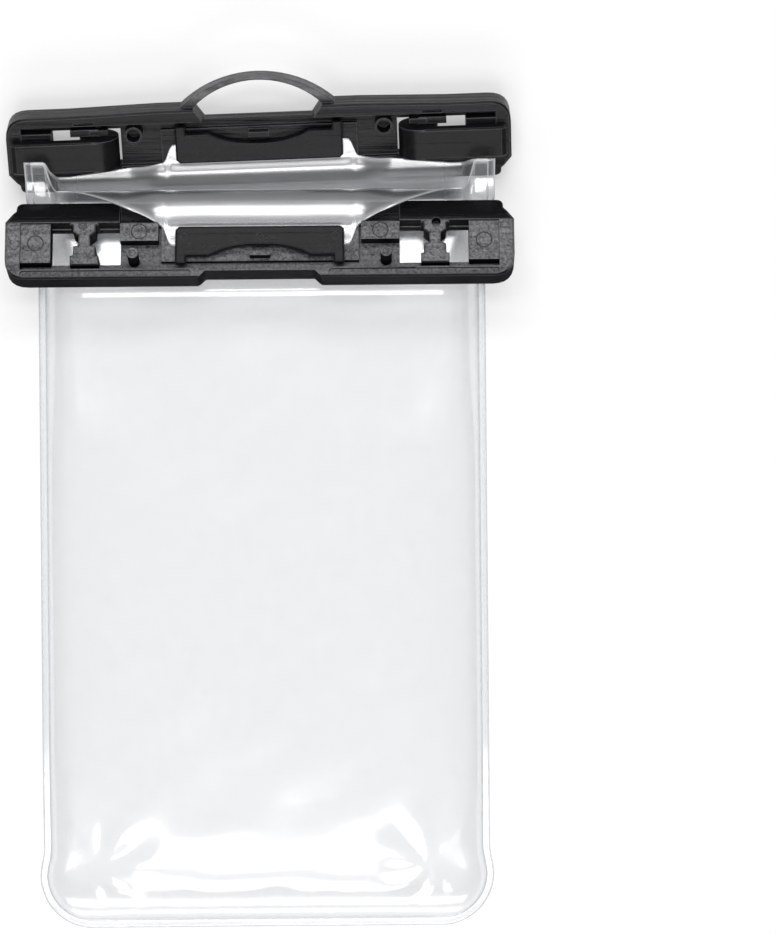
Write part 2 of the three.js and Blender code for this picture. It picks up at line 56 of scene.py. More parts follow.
for stale in list(bpy.data.objects):
    bpy.data.objects.remove(stale)

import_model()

# Sizes in millimetres, from the bottom edge of the bag, its centre line and the table.
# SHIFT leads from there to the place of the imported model.
SHIFT = Vector((0.18048, -104.93229, -0.13599))

# Jaws, measured from their middle, from the edge that faces away from the mouth and from the outer face
JAW_LENGTH = 123.4
JAW_HEIGHT = 20.2
END_WALL = 3.7
WINDOW_OUTER = JAW_LENGTH / 2 - 11
WINDOW_INNER = WINDOW_OUTER - 16.8
PAD_INNER = 24.6
RIDGE_INNER = 14.3
RIDGE_OUTER = 15.9
REAR_Y, REAR_TURN, REAR_TILT = 184.9, 1.7, 26
FRONT_Y, FRONT_Z, FRONT_TILT = 157.1, 16, -16
REAR_PLACE = (
    Matrix.Translation((0, REAR_Y, 0))
    @ Matrix.Rotation(math.radians(REAR_TURN), 4, "Z")
    @ Matrix.Rotation(math.radians(REAR_TILT), 4, "X")
)
FRONT_PLACE = (
    Matrix.Translation((0, FRONT_Y, FRONT_Z))
    @ Matrix.Rotation(math.radians(FRONT_TILT), 4, "X")
)

# Bag
BAG_HALF_WIDTH = 53
FOOT_WIDENING = 1
FOOT_TOP = 15.6
CORNER_RADIUS = 11
FLANGE = 1.9
FILM_THICKNESS = 0.4
SEAM_LIFT = 0.4
SEAM_FOOT = 3.4
SEAM_HEIGHT = 6
SEAM_LEVEL_Y = 50
SEAM_TURN_Y = 168
BAG_TOP = 15
BAG_BOTTOM = 0.35
FRONT_WALL_END = 156
BACK_WALL_END = 158
FOOT_POWER = 2.6
FOOT_SOFTNESS = 1.9
SQUARE_POWER = 14
SQUARE_FROM_Y = 115
LOWERED_FROM_Y = 125
CALMED_Y = (138, 150)

# Ears at both ends of the mouth
EAR_FLARE = 2.4
EAR_SHARPNESS = 8
EAR_FLARE_Y = (164, 180)
EAR_FOOT_Y = 184.6
EAR_FOOT_Z = 12.4
EAR_TOP_Y = 187.6
EAR_BEND_Y = 183.2
EAR_RISE = 0.9
EAR_INNER = (0.915, 0.955)
EAR_RAISED = (0.45, 0.85)
EAR_EDGE_X = 51.5
EAR_EDGE_Y = 176

# Mouth: tongues clamped under the retainers, and the crests that the film makes beside them
TONGUE_HALF = 21.6
TONGUE_SHOULDER = 24
TONGUE_HEIGHT = 4.25
TONGUE_END = 9.1
FOLD_HALF = BAG_HALF_WIDTH - 7
CREST_LOW = 5.2
CREST_HIGH = 7.75
LEVEL_OUTER = 32.9
# Where the film turns over at the mouth: its darker tint there is partly the doubled layers, partly painted
# shade in the gap
FOLDED_SHADE_X = (44, 52)
FOLDED_SHADE_Y = (160, 176)

# Crease above the foot, and puckers that run out from a point near each foot corner
CREASE_Y = 7.2
CREASE_WIDTH = 1.5
CREASE_DEPTH = 0.55
PUCKERS = 7
PUCKER_HEIGHT = 0.5
PUCKER_MIDDLE = (41, 15)
PUCKER_REACH = 9
PUCKER_WIDTH = 6

# Rows and columns of the film meshes
CORNER_ROWS = 14
WALL_ROWS = 90
MOUTH_ROWS = 72
TONGUE_COLUMNS = 19
SHOULDER_COLUMNS = 4
FOLD_COLUMNS = 21
EDGE_COLUMNS = 20


# Materials
WHITE = (1, 1, 1, 1)


class Nodes:
    """Short way to write a node tree."""

    def __init__(self, name):
        self.material = bpy.data.materials.new(name)
        self.material.use_nodes = True
        self.tree = self.material.node_tree
        self.tree.nodes.clear()
        self.out = self.add("ShaderNodeOutputMaterial")

    def add(self, kind, links=None, **values):
        node = self.tree.nodes.new(kind)
        for key, value in values.items():
            setattr(node, key, value)
        for socket, source in (links or {}).items():
            if hasattr(source, "is_output"):
                self.tree.links.new(source, node.inputs[socket])
            else:
                node.inputs[socket].default_value = source
        return node

    def place(self, scale=(1, 1, 1), turn=0.0):
        coordinates = self.add("ShaderNodeTexCoord").outputs["Object"]
        return self.add("ShaderNodeMapping", {0: coordinates, 2: (0, 0, turn), 3: scale}).outputs[0]

    def noise(self, vector, scale=1.0, detail=4.0, rough=0.55, warp=0.0):
        links = {"Vector": vector, "Scale": scale, "Detail": detail, "Roughness": rough, "Distortion": warp}
        return self.add("ShaderNodeTexNoise", links).outputs[0]

    def spread(self, value, low, high, to_low=0.0, to_high=1.0):
        return self.add("ShaderNodeMapRange", {0: value, 1: low, 2: high, 3: to_low, 4: to_high}).outputs[0]

    def math(self, operation, a, b=0.0, c=0.0):
        return self.add("ShaderNodeMath", {0: a, 1: b, 2: c}, operation=operation).outputs[0]

    def vector(self, operation, a, b):
        return self.add("ShaderNodeVectorMath", {0: a, 1: b}, operation=operation)

    def dot(self, a, b):
        return self.vector("DOT_PRODUCT", a, b).outputs["Value"]

    def mix(self, factor, low, high):
        """Blend of two colours, each written out or made by another node."""
        node = self.add("ShaderNodeMix", {0: factor}, data_type="RGBA")
        for socket, colour in ((6, low), (7, high)):
            if isinstance(colour, tuple):
                node.inputs[socket].default_value = (*colour, 1)
            else:
                self.tree.links.new(colour, node.inputs[socket])
        return node.outputs[2]

    def blend(self, factor, low, high):
        """Blend of two shaders."""
        return self.add("ShaderNodeMixShader", {0: factor, 1: low, 2: high}).outputs[0]

    def bump(self, height, distance, normal=None):
        links = {"Height": height, "Distance": distance, "Strength": 1.0}
        if normal is not None:
            links["Normal"] = normal
        return self.add("ShaderNodeBump", links).outputs[0]

    def finish(self, surface):
        self.tree.links.new(surface, self.out.inputs[0])
        return self.material


# Edge rounding, and the paler edges: partly edge wear, partly painted highlight
EDGE_ROUNDING_RADIUS = 0.00035
EDGE_WEAR_AND_HIGHLIGHT_SHARE = 0.85
EDGE_WEAR_AND_HIGHLIGHT_COLOUR = (0.15, 0.153, 0.16)
# Painted highlight on the lanyard loop, darker and paler tones
LOOP_HIGHLIGHT_DARK = (0.032, 0.032, 0.034)
LOOP_HIGHLIGHT_PALE = (0.17, 0.172, 0.178)
# Painted shade for faces seen edge-on
EDGE_ON_SHADE_COLOUR = (0.01, 0.01, 0.011, 1)
DRAG_DEPTH = 0.00035
GRAIN_DEPTH = 0.00006
SCRATCH_DEPTH = 0.00002


def plastic(
    name, dark, pale, rough, specular, brushed=1.0, grain=1.0, drag=0.5, spots=320.0,
    face_tone_and_shade_area=None, loop_highlight_area=None,
):
    """Moulded black plastic: drag marks along X, fine grain, patches of wear and hairline scratches, edges
    paled partly by wear and partly by a painted highlight; where asked, paler inner faces with painted
    shade on walls, and a painted highlight band.
    """
    n = Nodes(name)
    streaks = n.noise(n.place((14, 520, 520)), detail=5.0, rough=0.6)
    patches = n.noise(n.place(), spots, detail=6.0, rough=0.75, warp=0.6)
    fine = n.noise(n.place(), 2600.0, detail=2.0, rough=0.5)
    lines = n.noise(n.place((9, 1500, 1500), turn=0.22), detail=2.0, rough=0.4, warp=1.5)
    scratch = n.spread(lines, 0.68, 0.74)
    tone = n.math("MULTIPLY_ADD", streaks, drag, n.math("MULTIPLY", patches, 1 - drag))
    tone = n.spread(tone, 0.4, 0.62)
    gloss = n.math("ADD", patches, n.math("MULTIPLY", scratch, -0.35))
    gloss = n.spread(gloss, 0.3, 0.7, *rough)
    # Paler inner faces on the front jaw, with painted shade on its walls that face sideways or back; the
    # lip and outside stay darker, smoother and less specular
    if face_tone_and_shade_area:
        face_tone_and_shade = face_tone_and_shade_area(n)
        tone = n.math("MULTIPLY", tone, face_tone_and_shade)
        gloss = n.math("MULTIPLY", gloss, n.spread(face_tone_and_shade, 0.0, 0.5, 0.62, 1.0))
        specular = n.spread(face_tone_and_shade, 0.0, 0.5, 0.3 * specular, specular)
    colour = n.mix(tone, dark, pale)
    # Painted highlight: a paler tone along the outer part of the lanyard loop
    if loop_highlight_area:
        colour = n.mix(loop_highlight_area(n), colour, n.mix(tone, LOOP_HIGHLIGHT_DARK, LOOP_HIGHLIGHT_PALE))

    # Edges a little round, and paler along them: partly edge wear, partly a painted highlight on the lit
    # edges
    rounded = n.add("ShaderNodeBevel", {"Radius": EDGE_ROUNDING_RADIUS}, samples=4).outputs[0]
    plain = n.add("ShaderNodeNewGeometry").outputs["Normal"]
    edge_wear_and_highlight = n.spread(n.dot(rounded, plain), 0.985, 0.88)
    colour = n.mix(n.math("MULTIPLY", edge_wear_and_highlight, EDGE_WEAR_AND_HIGHLIGHT_SHARE), colour, EDGE_WEAR_AND_HIGHLIGHT_COLOUR)
    normal = n.bump(streaks, DRAG_DEPTH * brushed, rounded)
    normal = n.bump(fine, GRAIN_DEPTH * grain, normal)
    normal = n.bump(scratch, -SCRATCH_DEPTH, normal)
    surface = n.add(
        "ShaderNodeBsdfPrincipled",
        {"Base Color": colour, "Roughness": gloss, "Normal": normal, "Specular IOR Level": specular},
    ).outputs[0]
    if face_tone_and_shade_area:
        # Painted shade: faces seen edge-on, such as the jaw's walls, are blended towards a near-black
        # diffuse
        edge_on_shade = n.add("ShaderNodeBsdfDiffuse", {"Color": EDGE_ON_SHADE_COLOUR}).outputs[0]
        edge_on = n.add("ShaderNodeLayerWeight", {"Blend": 0.5}).outputs["Facing"]
        surface = n.blend(n.spread(edge_on, 0.42, 0.68, 0.0, 0.92), surface, edge_on_shade)
    return n.finish(surface)


def along_jaw(n, place):
    """Distances in metres across a jaw and up from its outer face."""
    spot = n.add("ShaderNodeTexCoord").outputs["Object"]
    origin = (place.translation + SHIFT) / 1000
    offset = n.vector("SUBTRACT", spot, tuple(origin)).outputs[0]
    return [n.dot(offset, tuple(axis[:3])) for axis in (place.col[1], place.col[2])]


def painted_loop_highlight(n):
    """One towards the outer part of the lanyard loop, where a painted highlight makes it paler."""
    across = along_jaw(n, REAR_PLACE)[0]
    return n.spread(across, (JAW_HEIGHT + 0.8) / 1000, (JAW_HEIGHT + 2.6) / 1000)


def on_inner_faces(n):
    """One on the paler inner faces of the front jaw, nought on its lip and its outside, and lower on walls
    that face sideways or back, as painted shade.
    """
    across, height = along_jaw(n, FRONT_PLACE)
    facing = n.add("ShaderNodeNewGeometry").outputs["Normal"]
    back, up = (n.dot(facing, tuple(axis[:3])) for axis in (FRONT_PLACE.col[1], FRONT_PLACE.col[2]))
    shares = (
        n.spread(across, (RIDGE_INNER - 0.2) / 1000, (RIDGE_INNER + 0.3) / 1000, 1.0, 0.0),
        n.spread(across, 0.0022, 0.0028, 0.75, 1.0),
        n.spread(across, 0.0004, 0.0008),
        n.spread(back, -0.6, -0.3),
        n.spread(height, 0.0012, 0.0022),
        n.spread(up, 0.3, 0.9, 0.25, 1.0),
    )
    inside = shares[0]
    for share in shares[1:]:
        inside = n.math("MULTIPLY", inside, share)
    return inside


CLEAR_TINT = (0.986, 0.987, 0.989)
EDGE_TINT = (0.8, 0.81, 0.825)
MOUTH_SHADE_TINT = (0.65, 0.66, 0.68)
MILK_COLOUR = (0.84, 0.86, 0.89, 1)
SHADOW_TINT = (0.975, 0.976, 0.98, 1)
FILM_IOR = 1.7
FILM_ROUGHNESS = 0.15
WAVE_DEPTH = 0.00022


def film(name):
    """Clear soft film: see-through with a gloss, slightly milky, paler along its cut edges and welds, and
    tinted darker at the mouth, partly for the doubled layers, partly as painted shade.
    """
    n = Nodes(name)
    waves = n.noise(n.place((1, 1.7, 1)), 30.0, detail=2.0, rough=0.4, warp=0.3)
    normal = n.bump(waves, WAVE_DEPTH)
    edge = n.add("ShaderNodeLayerWeight", {"Blend": 0.25}).outputs["Facing"]
    rim = n.add("ShaderNodeAttribute", attribute_name="rim").outputs["Fac"]
    mouth = n.add("ShaderNodeAttribute", attribute_name="mouth").outputs["Fac"]

    shade = n.math("ADD", n.spread(edge, 0.25, 1.0, 0.0, 0.75), n.math("MULTIPLY", rim, 0.6))
    # Painted shade: the film at the mouth is tinted darker, partly for the doubled layers, partly for the
    # shade in the gap
    tint = n.mix(mouth, n.mix(shade, CLEAR_TINT, EDGE_TINT), MOUTH_SHADE_TINT)
    clear = n.add("ShaderNodeBsdfTransparent", {"Color": tint}).outputs[0]
    milk = n.add("ShaderNodeBsdfDiffuse", {"Color": MILK_COLOUR}).outputs[0]
    haze = n.math("MULTIPLY_ADD", n.noise(n.place(), 130.0, rough=0.6), 0.03, 0.012)
    haze = n.math("ADD", haze, n.spread(edge, 0.4, 1.0, 0.0, 0.12))
    haze = n.math("ADD", haze, n.math("MULTIPLY", rim, 0.36))
    haze = n.math("MULTIPLY_ADD", mouth, 0.035, haze)

    rough = n.math("MULTIPLY_ADD", mouth, 0.13, FILM_ROUGHNESS)
    looks = {"Color": WHITE, "Roughness": rough, "Normal": normal}
    gloss = n.add("ShaderNodeBsdfGlossy", looks).outputs[0]
    mirror = n.add("ShaderNodeFresnel", {"IOR": FILM_IOR, "Normal": normal}).outputs[0]
    mirror = n.math("MULTIPLY", mirror, n.math("MULTIPLY_ADD", mouth, 3.0, 1.0))
    mirror = n.math("MINIMUM", mirror, n.math("MULTIPLY_ADD", mouth, 0.4, 0.16))
    surface = n.blend(mirror, n.blend(haze, clear, milk), gloss)
    passing = n.add("ShaderNodeBsdfTransparent", {"Color": SHADOW_TINT}).outputs[0]
    shadow = n.add("ShaderNodeLightPath").outputs["Is Shadow Ray"]
    return n.finish(n.blend(shadow, surface, passing))


front_plastic = plastic(
    "front_jaw_plastic", (0.004, 0.004, 0.005), (0.23, 0.235, 0.245), rough=(0.22, 0.5), specular=0.35,
    brushed=0.7, grain=1.6, drag=0.3, spots=1300.0, face_tone_and_shade_area=on_inner_faces,
)
rear_plastic = plastic(
    "rear_jaw_plastic", (0.002, 0.002, 0.0025), (0.012, 0.0125, 0.014), rough=(0.26, 0.42), specular=0.2,
    loop_highlight_area=painted_loop_highlight,
)
bar_plastic = plastic(
    "bar_plastic", (0.003, 0.003, 0.0035), (0.008, 0.0085, 0.01), rough=(0.24, 0.36), specular=0.16,
    brushed=0.1,
)
latch_plastic = plastic(
    "latch_plastic", (0.003, 0.003, 0.0035), (0.007, 0.0072, 0.008), rough=(0.26, 0.38), specular=0.16,
    brushed=0.06, grain=0.7,
)
clear_film = film("clear_film")

# Rigid pieces
WELD_DISTANCE = 2e-6
FLAT_ANGLE = math.radians(0.6)
SHARP_ANGLE = math.radians(32)


def dress(node, material, body, bevel):
    """Copy of a CAD piece with softened edges and its plastic."""
    source = bpy.data.objects[node]
    mesh = bpy.data.meshes.new(node + "_look")
    work = bmesh.new()
    work.from_mesh(source.data)
    bmesh.ops.remove_doubles(work, verts=work.verts, dist=WELD_DISTANCE)
    bmesh.ops.dissolve_limit(work, angle_limit=FLAT_ANGLE, verts=work.verts, edges=work.edges)
    for face in work.faces:
        face.smooth = True
    for edge in work.edges:
        edge.smooth = not (len(edge.link_faces) == 2 and edge.calc_face_angle(0) > SHARP_ANGLE)
    work.to_mesh(mesh)
    work.free()
    piece = bpy.data.objects.new(node + "_look", mesh)
    piece.matrix_world = source.matrix_world.copy()
    scene.collection.objects.link(piece)
    mesh.materials.append(material)
    rounding = piece.modifiers.new("softened edges", "BEVEL")
    rounding.width = bevel
    rounding.segments = 2
    rounding.limit_method = "ANGLE"
    rounding.angle_limit = SHARP_ANGLE
    rounding.use_clamp_overlap = True
    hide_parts(node)
    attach(piece, body)


JAW_BEVEL = 0.00018
BAR_BEVEL = 0.0002
LATCH_BEVEL = 0.00022
dress("rear_jaw", rear_plastic, "pouch", JAW_BEVEL)
dress("front_jaw", front_plastic, "pouch", JAW_BEVEL)
dress("rear_retainer", bar_plastic, "pouch", BAR_BEVEL)
dress("front_retainer", bar_plastic, "pouch", BAR_BEVEL)
dress("left_latch", latch_plastic, "left_lever", LATCH_BEVEL)
dress("right_latch", latch_plastic, "right_lever", LATCH_BEVEL)


def ring_mesh(work, middle, radius, width, turns=40, sides=8):
    """Adds a thin ring to a mesh, its middle measured on the front jaw in millimetres."""
    rows = []
    for k in range(turns):
        turn = 2 * math.pi * k / turns
        row = []
        for j in range(sides):
            roll = 2 * math.pi * j / sides
            reach = radius + width * math.cos(roll)
            offset = Vector((reach * math.cos(turn), reach * math.sin(turn), width * math.sin(roll)))
            row.append(work.verts.new((FRONT_PLACE @ (Vector(middle) + offset) + SHIFT) / 1000))
        rows.append(row)
    for k, row in enumerate(rows):
        following = rows[(k + 1) % turns]
        for j in range(sides):
            beside = (j + 1) % sides
            work.faces.new((row[j], following[j], following[beside], row[beside]))


def mould_rings(name, rings):
    """Thin raised rings left by the mould on faces of the front jaw or its retainer."""
    work = bmesh.new()
    for middle, radius, width in rings:
        ring_mesh(work, middle, radius, width)
    mesh = bpy.data.meshes.new(name)
    work.to_mesh(mesh)
    work.free()
    mesh.shade_smooth()
    mesh.materials.append(bar_plastic)
    piece = bpy.data.objects.new(name, mesh)
    scene.collection.objects.link(piece)
    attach(piece, "pouch")


# Rings as radius and half thickness, spots as the places across and up on the front jaw
EJECTOR_RING = (1.9, 0.13)
PIN_RING = (0.72, 0.1)
POST_RINGS = ((0.95, 0.13), (0.5, 0.1))
RETAINER_RING = (0.85, 0.08)
BLOCK_MIDDLE = (WINDOW_OUTER + JAW_LENGTH / 2 - END_WALL) / 2
BLOCK_SPOT = (9.45, 6.2)
PAD_MIDDLE = (PAD_INNER + WINDOW_INNER) / 2
PAD_SPOT = (12.3, 6.0)
PIN_MIDDLE = WINDOW_INNER - 3.3
PIN_SPOT = (5.6, 9.5)
LEFT_POST = (-42.9, 13.7, 6.8)
RETAINER_RINGS_X = (-18.3, 0.0, 18.3)
RETAINER_SPOT = (10.6, 6.8)

jaw_rings = [(LEFT_POST, *ring) for ring in POST_RINGS]
for side in (-1, 1):
    jaw_rings.append(((side * BLOCK_MIDDLE, *BLOCK_SPOT), *EJECTOR_RING))
    jaw_rings.append(((side * PAD_MIDDLE, *PAD_SPOT), *EJECTOR_RING))
    jaw_rings.append(((side * PIN_MIDDLE, *PIN_SPOT), *PIN_RING))
mould_rings("front_jaw_rings", jaw_rings)
mould_rings("front_retainer_rings", [((x, *RETAINER_SPOT), *RETAINER_RING) for x in RETAINER_RINGS_X])


# Film
def lerp(a, b, t):
    return a + (b - a) * t


def smooth(low, high, value):
    t = min(max((value - low) / (high - low), 0.0), 1.0)
    return t * t * (3 - 2 * t)


def half_width(y):
    """Half width of the bag inside its seam."""
    body = lerp(BAG_HALF_WIDTH + FOOT_WIDENING, BAG_HALF_WIDTH, smooth(FOOT_TOP - 3, FOOT_TOP + 4, y))
    short = CORNER_RADIUS - min(y - FLANGE, CORNER_RADIUS)
    return body - CORNER_RADIUS + math.sqrt(max(CORNER_RADIUS**2 - short**2, 0))


def ear_reach(x, y):
    """How far the seam flares outward on its way to an ear."""
    flare = math.copysign(EAR_FLARE, x) * (abs(x) / BAG_HALF_WIDTH) ** EAR_SHARPNESS
    return flare * smooth(*EAR_FLARE_Y, y)


def seam_height(y):
    """Height of the side seam, which rises into the ears."""
    side = lerp(SEAM_FOOT, SEAM_HEIGHT, smooth(FLANGE, SEAM_LEVEL_Y, y))
    return lerp(side, EAR_FOOT_Z, smooth(SEAM_TURN_Y, EAR_FOOT_Y, y)) + EAR_RISE * max(y - EAR_BEND_Y, 0)


def curve_through(points, steps=24):
    """Close points on the centripetal curve through some points, with the length up to each."""
    points = [np.array(p, float) for p in points]
    points = [2 * points[0] - points[1], *points, 2 * points[-1] - points[-2]]
    course = []
    for a, b, c, d in zip(points, points[1:], points[2:], points[3:]):
        t0, t1, t2 = (max(np.linalg.norm(q - p), 1e-6) ** 0.5 for p, q in ((a, b), (b, c), (c, d)))
        leave = ((b - a) / t0 - (c - a) / (t0 + t1) + (c - b) / t1) * t1
        reach = ((c - b) / t1 - (d - b) / (t1 + t2) + (d - c) / t2) * t1
        for k in range(steps):
            t = k / steps
            course.append(
                b
                + leave * t
                + (-3 * b + 3 * c - 2 * leave - reach) * t**2
                + (2 * b - 2 * c + leave + reach) * t**3
            )
    course.append(points[-2])
    course = np.array(course)
    lengths = np.concatenate([[0], np.cumsum(np.linalg.norm(np.diff(course, axis=0), axis=1))])
    return course, lengths


def levels(x):
    """Goes from the tongue's value to the crest's value with the distance from the middle."""
    rise = smooth(TONGUE_SHOULDER, LEVEL_OUTER, abs(x))
    return lambda low, high: lerp(low, high, rise)


def front_course(x):
    """Section of the front film from the bag, round the front jaw's lip, to the end of its tongue."""
    level = levels(x)
    points = [
        (-1, -0.6), (5, -0.6), (10, -0.6), (15, -0.6),
        (JAW_HEIGHT - 0.8, -0.7), (JAW_HEIGHT + 2.4, -0.2), (JAW_HEIGHT + 3.8, 1.6), (JAW_HEIGHT + 3.1, 4),
        (JAW_HEIGHT + 0.8, level(CREST_LOW, 6.2)),
        (RIDGE_OUTER + 1.8, level(CREST_LOW + 0.3, CREST_HIGH + 0.1)),
        (RIDGE_INNER + 1, level(TONGUE_HEIGHT + 0.6, CREST_HIGH)),
        (RIDGE_INNER - 0.5, level(TONGUE_HEIGHT, CREST_HIGH)),
        (10, TONGUE_HEIGHT), (TONGUE_END, TONGUE_HEIGHT),
    ]
    return [(FRONT_PLACE @ Vector((x, p, w)))[1:] for p, w in points]


def back_course(x):
    """Section of the back film from the table, over the rear jaw's edge, to the end of its tongue."""
    level = levels(x)
    points = [
        (JAW_HEIGHT + 0.9, level(4.9, 5.6)),
        (RIDGE_OUTER + 2.4, level(CREST_LOW, CREST_HIGH - 0.7)),
        (RIDGE_OUTER + 0.2, level(CREST_LOW, CREST_HIGH)),
        (RIDGE_INNER + 0.5, level(TONGUE_HEIGHT + 0.4, CREST_HIGH)),
        (RIDGE_INNER - 0.6, level(TONGUE_HEIGHT, CREST_HIGH)),
        (10, TONGUE_HEIGHT), (TONGUE_END, TONGUE_HEIGHT),
    ]
    on_table = [(BACK_WALL_END, BAG_BOTTOM), (166, 0.4), (173, 1), (178.5, 2.9)]
    return on_table + [(REAR_PLACE @ Vector((x, JAW_HEIGHT - p, w)))[1:] for p, w in points]


def columns():
    """Places of the mesh's columns across the bag, closest together at the shoulders and the seams."""
    tongue = list(np.linspace(0, TONGUE_HALF, TONGUE_COLUMNS + 1))[1:]
    shoulder = list(np.linspace(TONGUE_HALF, TONGUE_SHOULDER, SHOULDER_COLUMNS + 1))[1:]
    fold = list(np.linspace(TONGUE_SHOULDER, FOLD_HALF, FOLD_COLUMNS + 1))[1:]
    turns = [math.pi / 2 * k / EDGE_COLUMNS for k in range(1, EDGE_COLUMNS + 1)]
    edge = [lerp(FOLD_HALF, BAG_HALF_WIDTH, math.sin(turn)) for turn in turns]
    half = tongue + shoulder + fold + edge
    return [-x for x in reversed(half)] + [0.0] + half


def crinkle(x, y):
    """Small soft waves, the crease above the foot and the puckers near its corners, in millimetres."""
    wave = 0.16 * math.sin(0.16 * x + 0.05 * y + 1.3) * math.sin(0.11 * y - 0.07 * x)
    wave += 0.1 * math.sin(0.31 * x - 0.12 * y + 0.6) * math.sin(0.23 * y + 0.09 * x + 2.0)
    crease = CREASE_Y + 0.9 * math.sin(0.21 * x + 0.7) + 0.5 * math.sin(0.53 * x)
    depth = CREASE_DEPTH * (0.6 + 0.4 * math.sin(0.37 * x + 1.1))
    wave -= depth * math.exp(-(((y - crease) / CREASE_WIDTH) ** 2))
    for side in (-1, 1):
        dx, dy = side * x - PUCKER_MIDDLE[0], y - PUCKER_MIDDLE[1]
        near = math.exp(-(((math.hypot(dx, dy) - PUCKER_REACH) / PUCKER_WIDTH) ** 2))
        wave += PUCKER_HEIGHT * near * math.sin(PUCKERS * math.atan2(dy, dx) + side)
    return wave


def film_grid(
    course, wall_end, level, foot_reach, roundness, softness, lift, shoulder_cut, taper, waves, on_table
):
    """Columns of points in millimetres, each from the bottom seam to the edge inside the mouth."""
    turns = [math.pi / 2 * k / CORNER_ROWS for k in range(CORNER_ROWS + 1)]
    wall_rows = [FLANGE + CORNER_RADIUS * (1 - math.cos(turn)) for turn in turns]
    wall_rows += [lerp(FLANGE + CORNER_RADIUS, wall_end, k / WALL_ROWS) for k in range(1, WALL_ROWS + 1)]
    grid = []
    for x in columns():
        c = abs(x) / BAG_HALF_WIDTH
        points, lengths = curve_through(course(x))
        far = min(abs(x), FOLD_HALF)
        cut = shoulder_cut * smooth(TONGUE_HALF, TONGUE_SHOULDER, far)
        cut += max(far - TONGUE_SHOULDER, 0) * taper
        kept = lengths[-1] - cut
        start = points[0][1]
        line = []
        for y in wall_rows:
            power = lerp(roundness, SQUARE_POWER, smooth(SQUARE_FROM_Y, wall_end, y))
            bulge = max(1 - c**power, 0) ** (1 / softness)
            full = lerp(level, start, smooth(LOWERED_FROM_Y, wall_end, y))
            left = 1 - min((y - FLANGE) / foot_reach, 1)
            share = bulge * (1 - left**FOOT_POWER) ** (1 / FOOT_SOFTNESS)
            fade = waves * share * (1 - smooth(*CALMED_Y, y))
            pucker = crinkle(x, y)
            if on_table:
                pucker = max(pucker, 0.0)
            z = lerp(seam_height(y) + lift, full, share) + fade * pucker
            line.append((math.copysign(1, x) * c * half_width(y) + ear_reach(x, y), y, z))
        bulge = max(1 - c**SQUARE_POWER, 0) ** (1 / softness)
        for k in range(1, MOUTH_ROWS + 1):
            along = k / MOUTH_ROWS
            y, z = (np.interp(along * kept, lengths, points[:, i]) for i in (0, 1))
            seam_y = lerp(wall_end, EAR_TOP_Y, along)
            seam_z = seam_height(seam_y) + lift
            raised = smooth(*EAR_RAISED, along)
            hold = lerp(bulge, 1 - smooth(*EAR_INNER, c), raised)
            hold_y, hold_z = hold ** lerp(1, 0.5, raised), hold ** lerp(1, 2, raised)
            line.append((x + ear_reach(x, seam_y), lerp(seam_y, y, hold_y), lerp(seam_z, z, hold_z)))
        grid.append(line)
    return grid


# How pale the film is: out from the seam, on it, back from the cut edge and on the ears
FLANGE_PALENESS = (0.0, 0.1, 0.25, 1.0)
SEAM_PALENESS = 0.7
CUT_PALENESS = (0.9, 0.75, 0.35)
EAR_PALENESS = 0.08


def add_flange(points, quads, rim, seam):
    """Adds the welded flange outside the seam, a list of point numbers in order."""
    inner = seam
    for step, paleness in enumerate(FLANGE_PALENESS, 1):
        outer = list(range(len(points), len(points) + len(seam)))
        for k, index in enumerate(seam):
            before, after = points[seam[max(k - 1, 0)]], points[seam[min(k + 1, len(seam) - 1)]]
            away = Vector((after[1] - before[1], before[0] - after[0], 0)).normalized()
            rim[outer[k]] = paleness
            points.append(tuple(Vector(points[index]) + away * (FLANGE * step / len(FLANGE_PALENESS))))
        for k in range(len(seam) - 1):
            quads.append((inner[k], outer[k], outer[k + 1], inner[k + 1]))
        inner = outer


def mark(mesh, name, values):
    marks = mesh.attributes.new(name, "FLOAT", "POINT")
    marks.data.foreach_set("value", values)


def film_piece(name, grid):
    """Film with its flange, marked where it is paler (rim) and where it turns over at the mouth (mouth),
    which gets more gloss and a darker tint that is partly painted shade.
    """
    rows = len(grid[0])
    points = [p for line in grid for p in line]
    inside = len(points)
    quads = [
        (i * rows + j, (i + 1) * rows + j, (i + 1) * rows + j + 1, i * rows + j + 1)
        for i in range(len(grid) - 1)
        for j in range(rows - 1)
    ]
    rim = {}
    for back, paleness in enumerate(CUT_PALENESS, 1):
        rim.update({k: paleness for k in range(rows - back, inside, rows)})
    last_line = (len(grid) - 1) * rows
    seam = list(range(rows - 1, 0, -1)) + list(range(0, inside, rows))
    seam += [last_line + j for j in range(1, rows)]
    add_flange(points, quads, rim, seam)
    for k in seam:
        rim[k] = max(rim.get(k, 0.0), SEAM_PALENESS)
    for k, (x, y, z) in enumerate(points):
        if abs(x) > EAR_EDGE_X and y > EAR_EDGE_Y:
            rim[k] = max(rim.get(k, 0.0), EAR_PALENESS)

    mesh = bpy.data.meshes.new(name + "_look")
    mesh.from_pydata([(Vector(p) + SHIFT) / 1000 for p in points], [], quads)
    mesh.validate()
    mark(mesh, "rim", [rim.get(k, 0.0) for k in range(len(points))])
    # Mouth mark: more gloss, and a darker tint that is partly painted shade
    folded_and_shaded = [(1 - smooth(*FOLDED_SHADE_X, abs(x))) * smooth(*FOLDED_SHADE_Y, y) for x, y, z in points[:inside]]
    mark(mesh, "mouth", folded_and_shaded + [0.0] * (len(points) - inside))
    mesh.shade_smooth()
    mesh.materials.append(clear_film)
    piece = bpy.data.objects.new(name + "_look", mesh)
    scene.collection.objects.link(piece)
    thick = piece.modifiers.new("film thickness", "SOLIDIFY")
    thick.thickness = FILM_THICKNESS / 1000
    thick.offset = 0
    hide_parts(name)
    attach(piece, "pouch")
    return piece


